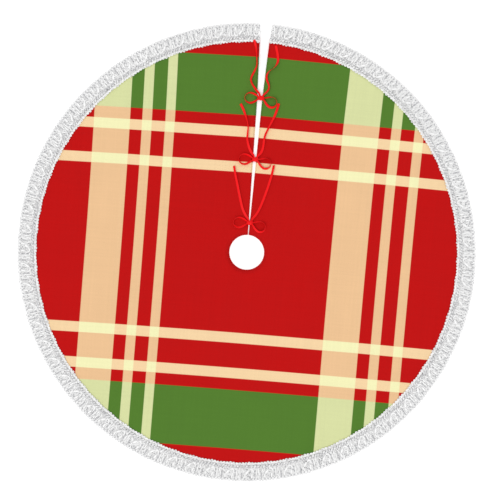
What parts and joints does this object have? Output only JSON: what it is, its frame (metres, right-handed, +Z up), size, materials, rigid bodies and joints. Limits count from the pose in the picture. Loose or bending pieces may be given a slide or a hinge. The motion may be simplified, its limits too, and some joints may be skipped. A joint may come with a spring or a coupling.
{
  "type": "tree skirt",
  "caption": "Round lined cloth tree skirt with a tartan face, a white lace rim, a trunk opening and a slit tied shut with red ribbon bows.",
  "frame": {"origin": "centre of the round trunk opening, on the floor that the skirt lies on", "axes": "+Z up from the floor; +Y from the trunk opening along the slit to the rim; +X to the right of the slit seen from above"},
  "size_m": [1.219, 1.2184, 0.0092],
  "materials": {
    "tartan_cloth": "matt woven polyester, printed tartan in red, green, peach and cream",
    "hem_cloth": "the same cloth turned under",
    "lining_cloth": "plain undyed lining, matt",
    "lace": "white crocheted lace, soft",
    "picot": "bright white picot-edged tape",
    "braid": "white gimp braid with a slanting rib",
    "satin_ribbon": "bright red satin ribbon"
  },
  "bodies": {
    "root": {"face_panel": "tartan_cloth", "lining_panel": "lining_cloth", "opening_hem": "hem_cloth", "rim_hem": "hem_cloth", "slit_hem_left": "hem_cloth", "slit_hem_right": "hem_cloth", "lace_edging": "lace", "picot_tape": "picot", "heading_braid": "braid", "bow_top_knot": "satin_ribbon", "bow_top_left_tab": "satin_ribbon", "bow_top_right_tab": "satin_ribbon", "bow_top_left_loop": "satin_ribbon", "bow_top_right_loop": "satin_ribbon", "bow_top_left_tail": "satin_ribbon", "bow_top_right_tail": "satin_ribbon", "bow_middle_knot": "satin_ribbon", "bow_middle_left_tab": "satin_ribbon", "bow_middle_right_tab": "satin_ribbon", "bow_middle_left_loop": "satin_ribbon", "bow_middle_right_loop": "satin_ribbon", "bow_middle_left_tail": "satin_ribbon", "bow_middle_right_tail": "satin_ribbon", "bow_lower_knot": "satin_ribbon", "bow_lower_left_tab": "satin_ribbon", "bow_lower_right_tab": "satin_ribbon", "bow_lower_left_loop": "satin_ribbon", "bow_lower_right_loop": "satin_ribbon", "bow_lower_left_tail": "satin_ribbon", "bow_lower_right_tail": "satin_ribbon"}
  },
  "joints": []
}
